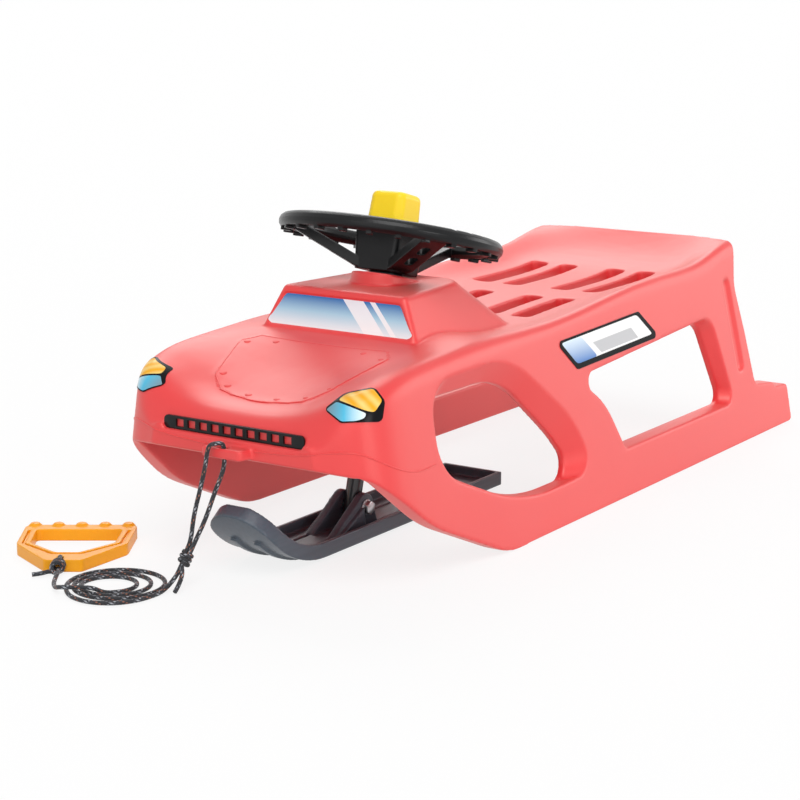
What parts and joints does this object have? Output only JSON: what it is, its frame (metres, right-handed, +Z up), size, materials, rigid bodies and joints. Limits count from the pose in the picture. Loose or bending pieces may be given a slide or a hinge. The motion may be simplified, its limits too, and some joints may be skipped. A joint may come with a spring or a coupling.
{
  "type": "steering sled",
  "caption": "Child's ride-on sled with a moulded shell on two runners, a wheel and column that steer a front ski, a squeeze horn and a pull cord with a handle.",
  "frame": {"origin": "middle of the sled's footprint, on the floor under the runners", "axes": "+Z up, forward is -Y, the sled's left is +X"},
  "size_m": [0.4606, 1.1157, 0.3625],
  "materials": {
    "shell_red": "satin blow-moulded polyethylene",
    "glazing_print": "printed film",
    "lamp_print": "printed film",
    "grille_black": "satin",
    "label_print": "printed film",
    "bush_black": "satin",
    "column_black": "black powder coat",
    "wheel_black": "satin",
    "horn_yellow": "semi-gloss",
    "bellows_rubber": "soft matt",
    "ski_grey": "satin",
    "zinc_steel": "bright zinc",
    "cord_black": "braided",
    "handle_yellow": "semi-gloss"
  },
  "bodies": {
    "sled": {"body_shell": "shell_red", "windscreen_sticker": "glazing_print", "left_lamp_sticker": "lamp_print", "right_lamp_sticker": "lamp_print", "grille_insert": "grille_black", "side_label": "label_print", "upper_column_bush": "bush_black", "lower_column_bush": "bush_black", "rope_loop": "cord_black", "rope_knot": "cord_black", "pull_cord": "cord_black", "cord_coil": "cord_black", "handle_lead": "cord_black", "handle_knot": "cord_black", "handle_bight": "cord_black", "pull_handle": "handle_yellow"},
    "steering": {"steering_column": "column_black", "column_collar": "wheel_black", "steering_wheel": "wheel_black", "wheel_screw": "zinc_steel", "horn_ring": "wheel_black", "horn_bellows": "bellows_rubber"},
    "horn": {"horn_cap": "horn_yellow"},
    "ski": {"front_ski": "ski_grey", "ski_bolt": "zinc_steel", "ski_nut": "zinc_steel", "left_ski_washer": "zinc_steel", "right_ski_washer": "zinc_steel"}
  },
  "joints": [
    {"name": "steering_turn", "type": "hinge", "parent": "sled", "child": "steering", "pos_m": [0, -0.272, 0.03], "axis": [0, 0.2588, 0.9659], "range_deg": [-25, 25]},
    {"name": "horn_press", "type": "slide", "parent": "steering", "child": "horn", "axis": [0, -0.2588, -0.9659], "range_m": [0, 0.006], "stiffness_N_per_m": 900, "springref_m": -0.001, "deforming": ["horn_bellows"]},
    {"name": "ski_pitch", "type": "hinge", "parent": "steering", "child": "ski", "pos_m": [0, -0.272, 0.03], "axis": [1, 0, 0], "range_deg": [-12, 12]}
  ]
}
